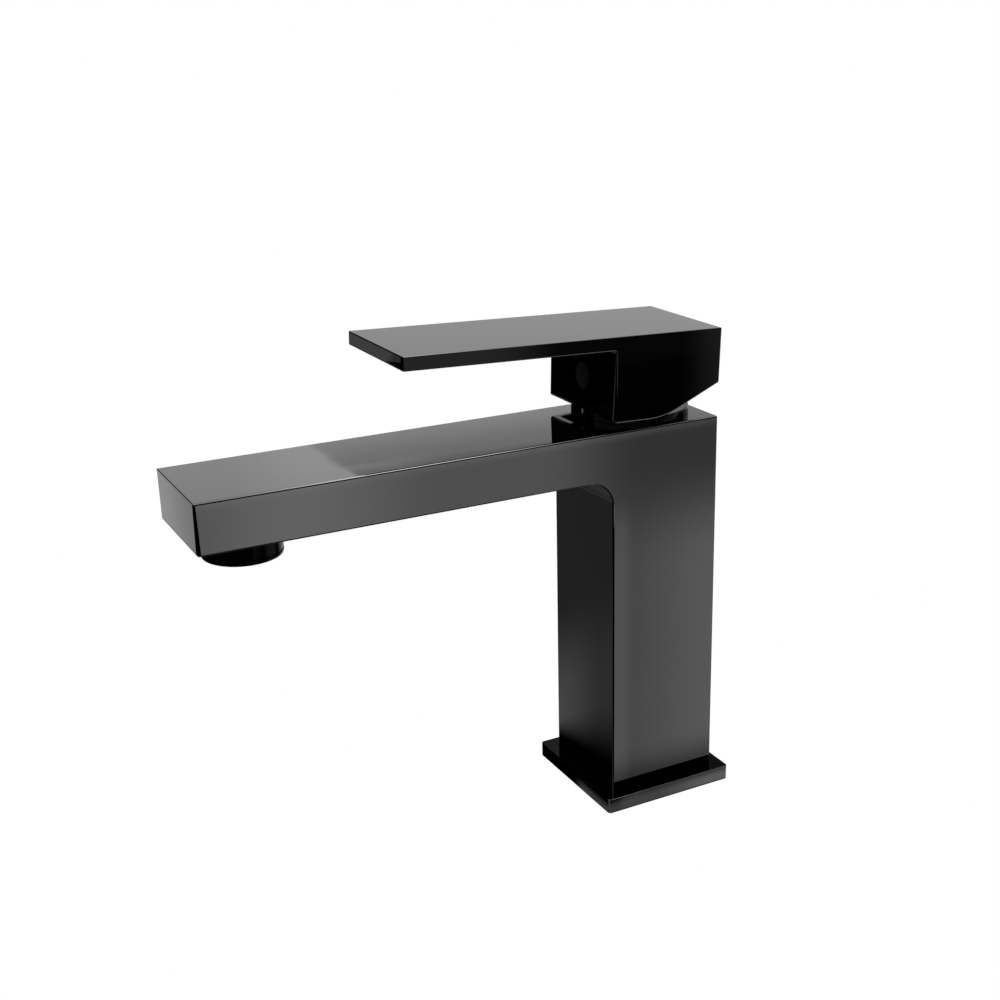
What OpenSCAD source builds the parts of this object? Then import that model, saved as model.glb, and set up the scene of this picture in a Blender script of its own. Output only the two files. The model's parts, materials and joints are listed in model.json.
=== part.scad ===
// Single-lever basin mixer with a square column, a flat horizontal spout and a flat lever.
// Frame: Z up, the spout points along -Y, X is left to right for a person facing the spout.
// The origin is on the worktop plane, on the column's centre line. Millimetres.

/* [Body] */
// Width of the column and the spout
body_w = 40; // [38:0.5:42]
// Depth of the column, front to back
column_d = 41.6; // [40:0.2:44]
// Height of the body's flat top above the worktop
body_h = 137.6; // [134:0.2:150]
// Depth of the spout, top face to underside
spout_h = 16.4; // [15.5:0.1:18]
// Distance from the column's centre line to the spout's end face
spout_reach = 160.5; // [140:0.5:190]
// Radius of the inner corner under the spout
corner_r = 9; // [6:0.5:11]

/* [Base] */
// Width of the square base flange
flange_w = 50.2; // [48:0.2:54]
// Depth of the square base flange
flange_d = 50.6; // [48:0.2:54]
// Thickness of the base flange
flange_t = 5.3; // [5:0.1:7]
// Radius of the flange's vertical corners
flange_corner_r = 1.2; // [1:0.1:5]

/* [Lever] */
// Width of the lever
lever_w = 43.8; // [43:0.1:45]
// Thickness of the lever's flat plate
plate_t = 4.6; // [3.6:0.1:5]
// Distance from the stem's axis to the lever's tip
lever_reach = 96.6; // [80:0.1:120]
// Distance from the stem's axis to the lever's back face
lever_back = 18.8; // [18:0.1:20]
// Distance from the stem's axis to the block's front face
block_front = 22.1; // [21.5:0.1:24]
// Height of the lever from the block's underside to the plate's top
block_h = 28.7; // [28.4:0.1:28.8]
// Height of the vertical part of the lever's back face
back_h = 18.6; // [17:0.1:19]
// Rise of the plate towards the tip with the lever closed, in degrees
lever_tilt = 2.06; // [1:0.02:3]

/* [Spout outlet] */
// Distance from the column's centre line to the outlet's axis
outlet_reach = 141.4; // [120:0.2:145]
// Outside diameter of the aerator below the spout
aerator_d = 25.2; // [24.2:0.1:26]
// How far the aerator stands below the spout
aerator_drop = 8.5; // [5:0.1:10]

/* [Fixing kit] */
// Thickness of worktop drawn between the flange and the fixing washer
worktop_t = 20; // [10:1:30]
// Length of the stud below the fixing nut
stud_spare = 16; // [14:1:30]

/* [Hidden] */

fine = 96;
over = 1; // how far a cutter runs past the face that it opens

// column and spout
wall = 3.3;
column_foot_z = 3; // the casting stands on the flange's ledge
column_front = column_d / 2;
spout_z = body_h - spout_h;
cavity_top = 70;
cavity_corner_r = 4;
waterway_w = body_w - 2 * 3.5;
waterway_z = spout_z + 5.6;
waterway_top = body_h - 4.4;
waterway_end = outlet_reach + 9;
riser_front = column_front - 2.2;
riser_back = riser_front - 3.2;
riser_w = 14;

// hose inlets, stud and ports in the casting's middle floor
inlet_x = 7.5;
inlet_y = 5;
inlet_r = 4.459; // core hole of an M10 x 1 thread
inlet_len = 12;
feed_r = 3.2;
stud_y = -12.6;
stud_r = 4;
stud_top = cavity_top + 16;
stud_fit = 0.05;

// cartridge, from the seat upwards
seat_z = 103;
cartridge_r = 12.4;
cartridge_bore_r = 12.7;
port_x = 6.2;
port_y = 4;
outlet_port_y = -6.2;
port_r = 2.9;
port_seal_r = 3.9;
base_z = seat_z + 0.4;
disc_z = seat_z + 5;
disc_t = 3;
fixed_disc_r = 10.8;
moving_disc_r = 8.4;
moving_disc_z = disc_z + disc_t + 0.05;
driver_top = 118.6;
driver_flat_x = 8;
moving_disc_y = 1.6; // the disc starts behind the centre and travels forward
housing_inner_r = 11.2;
housing_lid_z = 122;
housing_shoulder_z = 126.5;
neck_r = 9.8;
neck_bore_r = 8;
neck_top = 132;
peg_x = 8.6;
peg_y = -4.6;
peg_r = 1.4;

// retaining nut and cover ring
nut_bore_r = 10.2;
nut_thread_r = 13.55;
nut_hex_z = 133;
nut_top = 137.2;
counterbore_z = 134;
counterbore_r = 16.5;
cover_r = 18.4;
cover_top = body_h + 2.8;
cover_skirt_r = 16.4;
cover_inner_r = 14.6;
cover_hole_r = 12.4;

// stem and pivot
pivot_z = 125;
lever_top = 44.27; // plate's top above the pivot, along the stem
stem_w = 6;
stem_end = 33;
ball_drop = 8.2;
ball_r = 2.3;
arm_r = 1.7;
pin_r = 1.5;
running = 0.05;
socket_y = -ball_drop * sin(lever_tilt); // the driver's socket is round the ball with the lever closed

// lever's block
block_wall = 2.5;
block_floor_y = -3; // where the underside starts to climb to the back
underside_bend_r = 26;
boss_z = 22;
boss_w = 15;
boss_front = 11;
boss_back = 7;
screw_z = 27.2;
screw_r = 2.5;
plug_r = 4.75;
plug_t = 2.2;

// aerator
thread_r = 11.7;
thread_len = 6;
aerator_bore_r = 10.2;
aerator_seat_z = spout_z + thread_len;
gasket_lift = 1.1; // height of the outlet gasket above the aerator's seat

// base ring and fixing kit
flange_hole_r = 17.6;
seal_groove_in = 18.6;
seal_groove_out = 22.4;
seal_t = 2;
plate_r = 25;
slot_r = 14;
slot_y = 8;
gasket_t = 2.4;
plate_thick = 2.5;
gasket_z = -worktop_t - gasket_t;
plate_z = gasket_z - plate_thick;
fixing_nut_h = 10;
fixing_nut_af = 13;
stud_bottom = plate_z - fixing_nut_h - stud_spare;

// a rectangle with rounded corners, centred on the origin
module rounded_rect(w, d, r) {
    union() {
        square([w - 2 * r, d], center = true);
        square([w, d - 2 * r], center = true);
        for (x = [-1, 1], y = [-1, 1])
            translate([x * (w / 2 - r), y * (d / 2 - r)]) circle(r = r, $fn = fine);
    }
}

// a round rod or hole from z = low to z = high at (x, y)
module rod(r, low, high, x = 0, y = 0) {
    translate([x, y, low]) cylinder(r = r, h = high - low, $fn = fine);
}

// a washer or tube
module ring(outer, inner, low, high) {
    difference() {
        rod(outer, low, high);
        rod(inner, low - over, high + over);
    }
}

// an O-ring: a circle of radius r carried round the Z axis at radius big_r
module o_ring(big_r, r, z) {
    translate([0, 0, z]) rotate_extrude($fn = fine) translate([big_r, 0]) circle(r = r, $fn = 48);
}

// the lever's own frame: its origin is the pivot and its Z is the stem's axis
module lever_frame() {
    translate([0, 0, pivot_z]) rotate([-lever_tilt, 0, 0]) children();
}

// a solid with a constant outline in the Y-Z plane and its width along X
module across(w) {
    translate([-w / 2, 0, 0]) rotate([90, 0, 90]) linear_extrude(w) children();
}

// the outline of column and spout, with the round inner corner as an arc
function corner_arc(steps = 18) = [for (i = [0:steps])
    let (a = 90 * i / steps)
    [-column_front - corner_r + corner_r * sin(a), spout_z - corner_r + corner_r * cos(a)]];

module body_outline() {
    polygon(concat(
        [[column_front, column_foot_z], [column_front, body_h], [-spout_reach, body_h],
         [-spout_reach, spout_z]],
        corner_arc(),
        [[-column_front, column_foot_z]]));
}

module hose_cavity() {
    translate([0, 0, column_foot_z - over])
        linear_extrude(cavity_top - column_foot_z + over)
            rounded_rect(body_w - 2 * wall, column_d - 2 * wall, cavity_corner_r);
}

module inlet_passages() {
    for (side = [-1, 1]) {
        rod(inlet_r, cavity_top - over, cavity_top + inlet_len, side * inlet_x, inlet_y);
        rod(feed_r, cavity_top + inlet_len - over, seat_z - 8, side * inlet_x, inlet_y);
        rod(port_r, seat_z - 11, seat_z + over, side * port_x, port_y);
        rod(peg_r + 0.1, seat_z - 2.2, seat_z + over, side * peg_x, peg_y);
    }
}

module mixed_water_passage() {
    rod(port_r, seat_z - 7, seat_z + over, 0, outlet_port_y);
    translate([-port_r, -riser_front, seat_z - 9]) cube([2 * port_r, riser_front + outlet_port_y, 5]);
    translate([-riser_w / 2, -riser_front, seat_z - 9])
        cube([riser_w, riser_front - riser_back, waterway_top - seat_z + 9]);
    translate([-waterway_w / 2, -waterway_end, waterway_z])
        cube([waterway_w, waterway_end - riser_back, waterway_top - waterway_z]);
}

module body_casting() {
    color("#3b3b3d") difference() {
        across(body_w) body_outline();
        hose_cavity();
        inlet_passages();
        mixed_water_passage();
        rod(stud_r + stud_fit, cavity_top - over, stud_top, 0, stud_y);
        rod(cartridge_bore_r, seat_z, body_h + over);
        rod(nut_thread_r + running, housing_shoulder_z, body_h + over);
        rod(counterbore_r, counterbore_z, body_h + over);
        rod(thread_r + running, spout_z - over, aerator_seat_z + gasket_lift, 0, -outlet_reach);
    }
}

module base_flange() {
    recess = 0.1;
    color("#333335") difference() {
        linear_extrude(flange_t) rounded_rect(flange_w, flange_d, flange_corner_r);
        rod(flange_hole_r, -over, flange_t + over);
        translate([-body_w / 2 - recess, -column_d / 2 - recess, column_foot_z])
            cube([body_w + 2 * recess, column_d + 2 * recess, flange_t]);
        ring(seal_groove_out, seal_groove_in, -over, seal_t);
    }
}

module base_seal() {
    color("#1d1d1d") ring(seal_groove_out - 0.1, seal_groove_in + 0.1, 0, seal_t);
}

module cover_ring() {
    color("#2f2f31") difference() {
        union() {
            rod(cover_r, body_h, cover_top - 0.8);
            translate([0, 0, cover_top - 0.8])
                cylinder(r1 = cover_r, r2 = cover_r - 0.8, h = 0.8, $fn = fine);
            rod(cover_skirt_r, counterbore_z + 0.2, body_h + 0.1);
        }
        rod(cover_inner_r, counterbore_z - over, body_h + 1.2);
        rod(cover_hole_r, counterbore_z - over, cover_top + over);
        translate([0, 0, counterbore_z + 1]) ring(cover_r, cover_skirt_r - 1.3, 0, 1.6);
    }
}

module cover_ring_seal() {
    color("#1d1d1d") o_ring(15.8, 0.68, counterbore_z + 1.8);
}

module retaining_nut() {
    color("#b9a25a") difference() {
        union() {
            rod(nut_thread_r, housing_shoulder_z, nut_hex_z);
            translate([0, 0, nut_hex_z]) cylinder(r = nut_thread_r, h = nut_top - nut_hex_z, $fn = 6);
        }
        rod(nut_bore_r, housing_shoulder_z - over, nut_top + over);
    }
}

module cartridge_housing() {
    color("#d9d5c8") difference() {
        union() {
            rod(cartridge_r, disc_z, housing_shoulder_z);
            rod(neck_r, housing_shoulder_z - over, neck_top);
        }
        rod(housing_inner_r, disc_z - over, housing_lid_z);
        rod(neck_bore_r, disc_z, neck_top + over);
        ring(cartridge_r + over, cartridge_r - 1.5, housing_lid_z + 1.2, housing_lid_z + 3.2);
    }
}

module housing_seal() {
    color("#1d1d1d") o_ring(11.79, 0.88, housing_lid_z + 2.2);
}

// the three water ports, as holes or as pins of a given radius
module ports(r, low, high) {
    for (side = [-1, 1]) rod(r, low, high, side * port_x, port_y);
    rod(r, low, high, 0, outlet_port_y);
}

module cartridge_base() {
    color("#d9d5c8") difference() {
        union() {
            rod(cartridge_r, base_z, disc_z);
            for (side = [-1, 1]) rod(peg_r, seat_z - 2, base_z + over, side * peg_x, peg_y);
        }
        ports(port_r - 0.3, base_z - over, disc_z + over);
        ports(port_seal_r + 0.05, base_z - over, base_z + 1.6);
    }
}

module port_seals() {
    color("#1d1d1d") difference() {
        ports(port_seal_r, seat_z, base_z + 1.6);
        ports(port_r, seat_z - over, base_z + 2);
    }
}

module fixed_disc() {
    color("#e8e4da") difference() {
        rod(fixed_disc_r, disc_z, disc_z + disc_t);
        ports(port_r - 0.3, disc_z - over, disc_z + disc_t + over);
    }
}

module aerator_housing() {
    lip = 0.7;
    color("#2b2b2d") translate([0, -outlet_reach, 0]) difference() {
        union() {
            rod(thread_r, spout_z, aerator_seat_z - 0.5);
            rod(aerator_d / 2, spout_z - aerator_drop + lip, spout_z);
            translate([0, 0, spout_z - aerator_drop])
                cylinder(r1 = aerator_d / 2 - lip, r2 = aerator_d / 2, h = lip, $fn = fine);
        }
        rod(aerator_bore_r, spout_z - aerator_drop + 1.6, aerator_seat_z);
        rod(aerator_bore_r - 0.9, spout_z - aerator_drop - over, aerator_seat_z);
    }
}

module aerator_gasket() {
    color("#1d1d1d") translate([0, -outlet_reach, 0])
        ring(thread_r - 0.2, 8.2, aerator_seat_z - 0.5, aerator_seat_z + gasket_lift);
}

module aerator_strainer() {
    color("#8f9296") translate([0, -outlet_reach, 0]) difference() {
        union() {
            rod(aerator_bore_r - 0.1, aerator_seat_z - 2.7, aerator_seat_z - 0.9);
            rod(7.6, aerator_seat_z - 1, aerator_seat_z + 2.2);
        }
        rod(6.8, aerator_seat_z - 3, aerator_seat_z + 1.4);
        for (ring_no = [1, 2], i = [0:ring_no * 6 - 1])
            rotate(i * 60 / ring_no) rod(0.7, aerator_seat_z, aerator_seat_z + 3, ring_no * 2.5);
    }
}

module aerator_core() {
    core_low = spout_z - aerator_drop + 3.2;
    core_high = aerator_seat_z - 2.8;
    color("#e4e4e0") translate([0, -outlet_reach, 0]) difference() {
        rod(aerator_bore_r - 0.1, core_low, core_high);
        rod(8.6, core_low - over, core_high - 1.6);
        for (i = [0:11]) rotate(i * 30) rod(0.9, core_low, core_high + over, 6.5);
    }
}

// the outlet's honeycomb: a thin disc with round cells, a little above the housing's mouth
module aerator_mesh() {
    cell = 2.9;
    mesh_low = spout_z - aerator_drop + 1.6;
    color("#c9c9c6") translate([0, -outlet_reach, 0]) difference() {
        rod(aerator_bore_r - 0.1, mesh_low, mesh_low + 1.5);
        for (row = [-3:3], col = [-3:3])
            let (x = cell * (col + 0.5 * abs(row % 2)), y = cell * row * sin(60))
                if (norm([x, y]) < aerator_bore_r - 2.4)
                    rod(1.15, mesh_low - over, mesh_low + 1.5 + over, x, y);
    }
}

module fixing_stud() {
    color("#b8bbbf") rod(stud_r, stud_bottom, stud_top - 1, 0, stud_y);
}

// a horseshoe that passes the hoses through its open back and the stud through its front
module horseshoe(outer, low, high) {
    difference() {
        rod(outer, low, high);
        rod(slot_r, low - over, high + over, 0, slot_y);
        translate([-slot_r, slot_y, low - over]) cube([2 * slot_r, outer, high - low + 2 * over]);
        rod(stud_r + 0.3, low - over, high + over, 0, stud_y);
    }
}

module fixing_gasket() {
    color("#1d1d1d") horseshoe(plate_r, gasket_z, gasket_z + gasket_t);
}

module fixing_plate() {
    color("#a9acb0") horseshoe(plate_r - 0.5, plate_z, gasket_z);
}

module fixing_nut() {
    color("#b9a25a") translate([0, stud_y, plate_z - fixing_nut_h]) difference() {
        cylinder(r = fixing_nut_af / sqrt(3), h = fixing_nut_h, $fn = 6);
        translate([0, 0, -over]) cylinder(r = stud_r + stud_fit, h = fixing_nut_h + 2 * over, $fn = fine);
    }
}

module stem_carrier() {
    foot_low = driver_top + 0.3;
    foot_high = housing_lid_z - 0.3;
    slot_x = stem_w / 2 + 0.3;
    color("#efe9d8") difference() {
        union() {
            rod(housing_inner_r - 0.3, foot_low, foot_high);
            rod(neck_bore_r - running, foot_low, neck_top - 1.5);
            for (side = [-1, 1])
                translate([side * 9.3 - 0.9, -3, moving_disc_z + disc_t + 0.4])
                    cube([1.8, 6, foot_low - moving_disc_z - disc_t]);
        }
        translate([-slot_x, -6.4, foot_low - over]) cube([2 * slot_x, 13, neck_top]);
        translate([0, 0, pivot_z]) rotate([0, 90, 0])
            cylinder(r = pin_r, h = 2 * neck_bore_r + 2, center = true, $fn = fine);
    }
}

module stem_pin() {
    color("#c4c7ca") translate([0, 0, pivot_z]) rotate([0, 90, 0])
        cylinder(r = pin_r, h = 2 * neck_bore_r - 1, center = true, $fn = fine);
}

module moving_disc() {
    color("#cfcabd") difference() {
        rod(moving_disc_r, moving_disc_z, moving_disc_z + disc_t, 0, moving_disc_y);
        rod(4.4, moving_disc_z - over, moving_disc_z + 1.6, 0, moving_disc_y);
    }
}

module disc_driver() {
    low = moving_disc_z + disc_t;
    color("#6f7f8f") difference() {
        intersection() {
            rod(moving_disc_r, low, driver_top, 0, moving_disc_y);
            translate([-driver_flat_x, -15, low]) cube([2 * driver_flat_x, 30, disc_t + 2]);
        }
        rod(ball_r + 0.3, low - over, driver_top + over, 0, socket_y);
    }
}

module lever_stem() {
    color("#c9b26a") lever_frame() difference() {
        union() {
            translate([-stem_w / 2, -stem_w / 2, -3.6]) cube([stem_w, stem_w, stem_end + 3.6]);
            rod(arm_r, -ball_drop, -3);
            translate([0, 0, -ball_drop]) sphere(r = ball_r, $fn = 64);
        }
        rotate([0, 90, 0]) cylinder(r = pin_r + running, h = stem_w + 2, center = true, $fn = fine);
    }
}

// the lever's underside turns up to the back face along an arc that meets both straight parts
rise_angle = atan((block_h - back_h) / (lever_back - block_floor_y));
bend_start = block_floor_y - underside_bend_r * tan(rise_angle / 2);
function underside_bend(steps = 10) = [for (i = [0:steps])
    let (a = rise_angle * i / steps)
    [bend_start + underside_bend_r * sin(a),
     lever_top - block_h + underside_bend_r * (1 - cos(a))]];

module lever_outline() {
    polygon(concat(
        [[-lever_reach, lever_top], [-lever_reach, lever_top - plate_t],
         [-block_front, lever_top - plate_t], [-block_front, lever_top - block_h]],
        underside_bend(),
        [[lever_back, lever_top - back_h], [lever_back, lever_top]]));
}

module lever_hollow() {
    translate([-lever_w / 2 + block_wall, -block_front + block_wall, lever_top - block_h - over])
        cube([lever_w - 2 * block_wall, block_front + lever_back - 2 * block_wall,
            block_h - plate_t + over]);
}

module lever() {
    color("#3b3b3d") lever_frame() difference() {
        union() {
            difference() {
                across(lever_w) lever_outline();
                lever_hollow();
            }
            translate([-boss_w / 2, -boss_front, boss_z])
                cube([boss_w, boss_front + boss_back, lever_top - plate_t - boss_z + 0.5]);
        }
        translate([-stem_w / 2 - running, -stem_w / 2 - running, boss_z - over])
            cube([stem_w + 2 * running, stem_w + 2 * running, stem_end - boss_z + over + 0.2]);
        translate([0, 0, screw_z]) rotate([90, 0, 0])
            cylinder(r = screw_r, h = boss_front + over, $fn = fine);
        translate([0, -boss_front, screw_z]) rotate([90, 0, 0])
            cylinder(r = plug_r, h = block_front, $fn = fine);
    }
}

module lever_screw() {
    color("#8f9296") lever_frame() translate([0, -stem_w / 2, screw_z]) rotate([90, 0, 0])
        difference() {
            cylinder(r = screw_r, h = 6.5, $fn = fine);
            translate([0, 0, 4]) cylinder(r = 1.44, h = 3, $fn = 6);
        }
}

module index_plug() {
    color("#252527") lever_frame() translate([0, -block_front + plug_t + 0.2, screw_z])
        rotate([90, 0, 0]) cylinder(r = plug_r - 0.02, h = plug_t, $fn = fine);
}

body_casting();
base_flange();
base_seal();
cover_ring();
cover_ring_seal();
retaining_nut();
cartridge_housing();
housing_seal();
cartridge_base();
port_seals();
fixed_disc();
aerator_housing();
aerator_gasket();
aerator_strainer();
aerator_core();
aerator_mesh();
fixing_stud();
fixing_gasket();
fixing_plate();
fixing_nut();
stem_carrier();
stem_pin();
moving_disc();
disc_driver();
lever_stem();
lever();
lever_screw();
index_plug();
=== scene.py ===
# %% [markdown]
# # A single-lever basin mixer in dark plated brass
# The object is a square column with a flat, straight spout and a flat lever on top. Its working
# parts come from a finished mechanical model, and this lesson gives them their looks: rounded
# edges, plated metal, threads, rubber and ceramic. We start by loading that model. It stays where
# it is, and every new piece takes its place and its size from it.

# %% Load the mechanical model
import json
import math

import bmesh
import bpy
import numpy as np
from mathutils import Matrix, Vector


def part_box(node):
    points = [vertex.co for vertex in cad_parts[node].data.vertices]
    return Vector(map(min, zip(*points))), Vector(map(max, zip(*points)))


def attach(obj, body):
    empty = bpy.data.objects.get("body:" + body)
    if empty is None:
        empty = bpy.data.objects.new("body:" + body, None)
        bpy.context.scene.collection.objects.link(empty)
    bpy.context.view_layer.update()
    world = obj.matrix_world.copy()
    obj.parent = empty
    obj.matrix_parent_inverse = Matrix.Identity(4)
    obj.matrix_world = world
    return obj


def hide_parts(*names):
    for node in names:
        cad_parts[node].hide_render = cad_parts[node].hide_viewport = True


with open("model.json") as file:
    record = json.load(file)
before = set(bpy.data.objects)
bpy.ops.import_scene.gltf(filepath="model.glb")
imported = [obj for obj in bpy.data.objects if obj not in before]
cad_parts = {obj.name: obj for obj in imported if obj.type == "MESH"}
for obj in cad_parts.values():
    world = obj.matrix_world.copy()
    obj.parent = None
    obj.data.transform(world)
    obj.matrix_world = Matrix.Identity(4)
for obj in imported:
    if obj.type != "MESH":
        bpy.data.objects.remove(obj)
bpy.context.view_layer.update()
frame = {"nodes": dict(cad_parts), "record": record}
nodes = frame["nodes"]
mm = 0.001

# %% [markdown]
# ## The camera
# It stands to the right of the spout, further out than its tip, and looks down on the mixer at a
# shallow angle. A camera is easiest to aim with a compass bearing, a height angle and a small
# roll, so we build its three axes from those angles. The lens shift slides the picture without
# turning the camera, so the column's edges keep their slant.

# %% Place the camera
bearing = math.radians(61.41)
height_angle = math.radians(18.04)
roll = math.radians(-0.75)
camera_place = [0.4151, -0.2605, 0.2715]
back = np.array([math.sin(bearing) * math.cos(height_angle),
                 -math.cos(bearing) * math.cos(height_angle),
                 math.sin(height_angle)])
level_right = np.cross(-back, [0, 0, 1])
level_right /= np.linalg.norm(level_right)
level_up = np.cross(back, level_right)
right = math.cos(roll) * level_right + math.sin(roll) * level_up
up = -math.sin(roll) * level_right + math.cos(roll) * level_up

camera = bpy.data.objects.new("camera", bpy.data.cameras.new("camera"))
bpy.context.scene.collection.objects.link(camera)
bpy.context.scene.camera = camera
pose = np.eye(4)
pose[:3, :3] = np.column_stack([right, up, back])
pose[:3, 3] = camera_place
camera.matrix_world = Matrix(pose.tolist())
camera.data.sensor_width = 36
camera.data.lens = 52.8
camera.data.shift_x = -0.0485
camera.data.shift_y = -0.018
camera.data.clip_start = 0.01
bpy.context.scene.view_settings.view_transform = "Standard"
print("camera at", [round(v, 3) for v in camera.location])

# %% [markdown]
# ## Writing materials as sums
# A procedural material is a graph of nodes. Wiring it by hand hides the formula, so one small
# class wraps a socket and lets plain Python write the maths: each operator adds one Math node.
# Everything that isn't a number goes through `node`, which takes a node's type, its settings and
# its inputs.

# %% A socket that can be added and multiplied
class Value:
    """A socket of a node tree. Adding, multiplying and so on gives a new Value."""

    def __init__(self, tree, socket):
        self.tree = tree
        self.socket = socket

    def math(self, operation, *others, first=None):
        """One Math node: operation on first (or this value) and the others."""
        values = [self if first is None else first, *others]
        return node(self.tree, "ShaderNodeMath", {"operation": operation}, dict(enumerate(values)))

    def __add__(self, other):
        return self.math("ADD", other)

    def __sub__(self, other):
        return self.math("SUBTRACT", other)

    def __rsub__(self, other):
        return self.math("SUBTRACT", self, first=other)

    def __mul__(self, other):
        return self.math("MULTIPLY", other)

    def __truediv__(self, other):
        return self.math("DIVIDE", other)

    __radd__ = __add__
    __rmul__ = __mul__

    def inverse(self):
        """1 divided by this value."""
        return self.math("DIVIDE", self, first=1.0)

    def smooth(self, start, end, low=0.0, high=1.0):
        """low before start, high after end, and an S-shaped step between them."""
        settings = {"interpolation_type": "SMOOTHSTEP"}
        places = {0: self, 1: start, 2: end, 3: low, 4: high}
        if start > end:
            places = {0: self, 1: end, 2: start, 3: high, 4: low}
        return node(self.tree, "ShaderNodeMapRange", settings, places)


def node(tree, kind, settings=None, inputs=None, output=0):
    """Adds a node of that kind, sets its settings, then its inputs, and gives one output."""
    made = tree.nodes.new(kind)
    for name, setting in (settings or {}).items():
        setattr(made, name, setting)
    for name, value in (inputs or {}).items():
        if isinstance(value, Value):
            tree.links.new(value.socket, made.inputs[name])
        else:
            made.inputs[name].default_value = value
    return Value(tree, made.outputs[output])


def object_place(tree):
    """The point's own place in the model, as a vector in metres."""
    return node(tree, "ShaderNodeTexCoord", output="Object")


def along_axes(vector, axes="XYZ"):
    """The named components of a vector, each as a Value."""
    return [node(vector.tree, "ShaderNodeSeparateXYZ", {}, {0: vector}, axis) for axis in axes]


def noise(tree, place, size, detail=3.0, distortion=0.0):
    """Cloudy noise from 0 to 1 whose patches are about size metres across."""
    return node(tree, "ShaderNodeTexNoise", {},
                {"Vector": place, "Scale": 1 / size, "Detail": detail, "Distortion": distortion})


print("socket maths ready")

# %% [markdown]
# ## Floor, backdrop and light
# A dark, polished object is drawn almost entirely by what it mirrors, so its lighting is a set of
# bright and dark shapes around it. The floor that the camera sees is plain white paper. The
# polished metal sees another one at the same place: a board with soft-edged bright cards on black
# cloth. Object visibility flags keep the two apart. Each card is described in the terms of the
# face that mirrors it: in millimetres along that face, so that a card ends where the face's own
# edge is. Its strength is a share of the paper's white.

# %% The white paper that the camera sees
def sheet_object(name, size, height):
    """A square on the ground plane, size metres across, at a height."""
    mesh = bpy.data.meshes.new(name)
    corners = [(-size / 2, -size / 2, height), (size / 2, -size / 2, height),
               (size / 2, size / 2, height), (-size / 2, size / 2, height)]
    mesh.from_pydata(corners, [], [(0, 1, 2, 3)])
    made = bpy.data.objects.new(name, mesh)
    bpy.context.scene.collection.objects.link(made)
    return made


def seen_by(made, camera_rays, glossy_rays):
    """Sets which rays meet an object of the stage. It never casts a shadow or lights matt parts."""
    made.visible_camera = camera_rays
    made.visible_glossy = glossy_rays
    made.visible_diffuse = False
    made.visible_shadow = False
    made.visible_transmission = False


def new_material(name):
    """An empty material's node tree."""
    material = bpy.data.materials.new(name)
    material.use_nodes = True
    material.node_tree.nodes.clear()
    return material, material.node_tree


studio_size = 6.0
paper = sheet_object("paper_floor", studio_size, 0.0)
seen_by(paper, True, False)
paper_material, tree = new_material("white_paper")
glow = node(tree, "ShaderNodeEmission", {}, {"Color": (1, 1, 1, 1), "Strength": 1.0})
clear = node(tree, "ShaderNodeBsdfTransparent")
underside = node(tree, "ShaderNodeNewGeometry", output="Backfacing")
both = node(tree, "ShaderNodeMixShader", {}, {0: underside, 1: glow, 2: clear})
node_out = tree.nodes.new("ShaderNodeOutputMaterial")
tree.links.new(both.socket, node_out.inputs["Surface"])
paper.data.materials.append(paper_material)
print("paper floor", paper.dimensions.x, "m")

# %% Where a face mirrors the board
casting_low, casting_high = (np.array(v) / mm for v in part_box("body_casting"))
body_half = casting_high[0]
column_half = casting_high[1]
body_top = casting_high[2]
spout_tip = casting_low[1]
eye = np.array(camera.location) / mm


def mirrored_in_side(x, y, face_x):
    """For a spot on the board: the height and the y at which the upright face at face_x shows it.
    A mirror doubles the eye's distance, so rays start at an eye behind the face. The board lies at
    stretch times the face's distance from that eye."""
    far_eye = 2 * face_x - eye[0]
    stretch = (x - far_eye) / (face_x - far_eye)
    return eye[2] * (1 - stretch.inverse()), (y - eye[1]) / stretch + eye[1]


def mirrored_in_front(x, y, face_y):
    """The same for an upright face across the spout's line: a height and an x."""
    far_eye = 2 * face_y - eye[1]
    stretch = (y - far_eye) / (face_y - far_eye)
    return eye[2] * (1 - stretch.inverse()), (x - eye[0]) / stretch + eye[0]


def band(value, start, full, fade, end):
    """0 outside start to end, 1 between full and fade, with soft edges."""
    return value.smooth(start, full) * value.smooth(fade, end, 1.0, 0.0)


def emit(material, tree, strength, kind="ShaderNodeEmission", out="ShaderNodeOutputMaterial"):
    """White light of that strength from a surface or from the world."""
    glow = node(tree, kind, {}, {"Color": (1, 1, 1, 1), "Strength": strength})
    tree.links.new(glow.socket, tree.nodes.new(out).inputs["Surface"])
    return material


print("eye", eye.round(1))

# %% The board of cards that the metal mirrors
height_over_paper = 0.0004
board = sheet_object("card_board", studio_size, height_over_paper)
seen_by(board, False, True)
board_material, tree = new_material("cards")
x, y = (part / mm for part in along_axes(object_place(tree), "XY"))

# Cards to the right, mirrored in the right-hand faces of column, spout, flange and lever.
side_z, side_y = mirrored_in_side(x, y, body_half)
column_card = side_y.smooth(-26, 26, 0.22, 0.56) * side_z.smooth(86, 126, 1.0, 0.0)
spout_card = side_y.smooth(-50, -8, 0.40, 0.0) + band(side_y, -175, -131, -131, -80) * 0.36
beside_body = 0.26 + column_card + spout_card * side_z.smooth(100, 118)
edge_card = band(side_y, -23, -20, -18, -12) * side_z.smooth(102, 116, 0.2, 0.0)
top_card = side_z.smooth(134, 137.5) * side_y.smooth(-150, -10, 0.18, 0.32)
beside_body = beside_body + edge_card + top_card
beside_body = beside_body * side_z.smooth(-2, 22) * side_z.smooth(138.5, 141, 1.0, 0.0)
dark_under_block = side_z.smooth(136, 139.5) * side_y.smooth(-40, -22)
spout_outline = side_z.smooth(108, 118, -22, -162)
beside_body = beside_body * (1 - dark_under_block) * (side_y - spout_outline).smooth(-3, 0)
beside_base = band(side_z, -2, -1, 5, 8.5) * side_y.smooth(-12, 16, 0.33, 0.70)
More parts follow.
